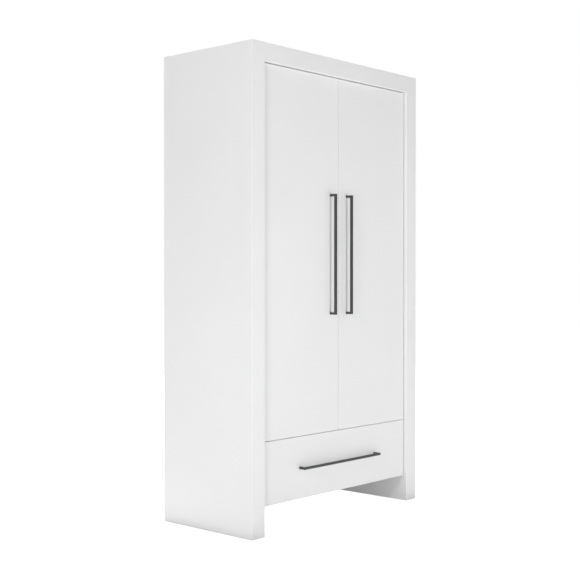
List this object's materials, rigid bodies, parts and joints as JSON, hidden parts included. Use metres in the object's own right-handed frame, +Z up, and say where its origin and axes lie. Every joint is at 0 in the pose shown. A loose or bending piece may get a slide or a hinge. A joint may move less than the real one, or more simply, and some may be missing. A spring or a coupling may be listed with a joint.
{
  "type": "wardrobe with doors",
  "caption": "Tall white wardrobe with a thick hollow frame, inset hinged doors over a full-width drawer, square bow handles, shelves and a clothes rail.",
  "frame": {"origin": "middle of the bounding box's base, on the floor under the wardrobe", "axes": "+Z up, +X to the wardrobe's right side as seen from the front, the doors and the drawer face -Y"},
  "size_m": [1.122, 0.545, 2],
  "materials": {
    "white_lacquer": "satin white lacquer on fibreboard",
    "white_board": "matt white melamine on particleboard",
    "white_hardboard": "matt white painted hardboard",
    "anthracite_metal": "satin anthracite powder coat",
    "nickel_steel": "nickel plated",
    "zinc_steel": "bright zinc plated",
    "chrome": "polished chrome",
    "white_plastic": "matt moulded plastic"
  },
  "bodies": {
    "carcass": {"left_side_shell": "white_lacquer", "right_side_shell": "white_lacquer", "top_shell": "white_lacquer", "left_rear_stile": "white_board", "right_rear_stile": "white_board", "top_rear_rail": "white_board", "left_foot_block": "white_board", "right_foot_block": "white_board", "floor_board": "white_board", "base_board": "white_board", "centre_partition": "white_board", "lower_shelf": "white_board", "middle_shelf": "white_board", "upper_shelf": "white_board", "hat_shelf": "white_board", "left_back_sheet": "white_hardboard", "right_back_sheet": "white_hardboard", "back_joining_strip": "white_plastic", "left_front_glide": "white_plastic", "left_rear_glide": "white_plastic", "right_front_glide": "white_plastic", "right_rear_glide": "white_plastic", "clothes_rail": "chrome", "left_rail_socket": "chrome", "right_rail_socket": "chrome", "left_lower_hinge_arm": "nickel_steel", "left_lower_hinge_plate": "nickel_steel", "left_middle_hinge_arm": "nickel_steel", "left_middle_hinge_plate": "nickel_steel", "left_upper_hinge_arm": "nickel_steel", "left_upper_hinge_plate": "nickel_steel", "right_lower_hinge_arm": "nickel_steel", "right_lower_hinge_plate": "nickel_steel", "right_middle_hinge_arm": "nickel_steel", "right_middle_hinge_plate": "nickel_steel", "right_upper_hinge_arm": "nickel_steel", "right_upper_hinge_plate": "nickel_steel", "left_runner_outer": "zinc_steel", "right_runner_outer": "zinc_steel"},
    "left_door_leaf": {"left_door": "white_lacquer", "left_door_handle": "anthracite_metal", "left_lower_hinge_cup": "nickel_steel", "left_middle_hinge_cup": "nickel_steel", "left_upper_hinge_cup": "nickel_steel"},
    "right_door_leaf": {"right_door": "white_lacquer", "right_door_handle": "anthracite_metal", "right_lower_hinge_cup": "nickel_steel", "right_middle_hinge_cup": "nickel_steel", "right_upper_hinge_cup": "nickel_steel"},
    "drawer": {"drawer_front": "white_lacquer", "left_drawer_side": "white_board", "right_drawer_side": "white_board", "drawer_back": "white_board", "drawer_bottom": "white_hardboard", "drawer_handle": "anthracite_metal", "left_runner_inner": "zinc_steel", "right_runner_inner": "zinc_steel"},
    "runner_middles": {"left_runner_middle": "zinc_steel", "right_runner_middle": "zinc_steel"}
  },
  "joints": [
    {"name": "left_door_hinge", "type": "hinge", "parent": "carcass", "child": "left_door_leaf", "pos_m": [-0.471, -0.23, 1.15338], "axis": [0, 0, -1], "range_deg": [0, 100]},
    {"name": "right_door_hinge", "type": "hinge", "parent": "carcass", "child": "right_door_leaf", "pos_m": [0.471, -0.23, 1.15338], "axis": [0, 0, 1], "range_deg": [0, 100]},
    {"name": "drawer_slide", "type": "slide", "parent": "carcass", "child": "drawer", "axis": [0, -1, 0], "range_m": [0, 0.45]},
    {"name": "runner_middle_slide", "type": "slide", "parent": "carcass", "child": "runner_middles", "axis": [0, -1, 0], "range_m": [0, 0.225]}
  ],
  "couplings": [
    {"joint": "runner_middle_slide", "follows": "drawer_slide", "ratio": 0.5}
  ]
}
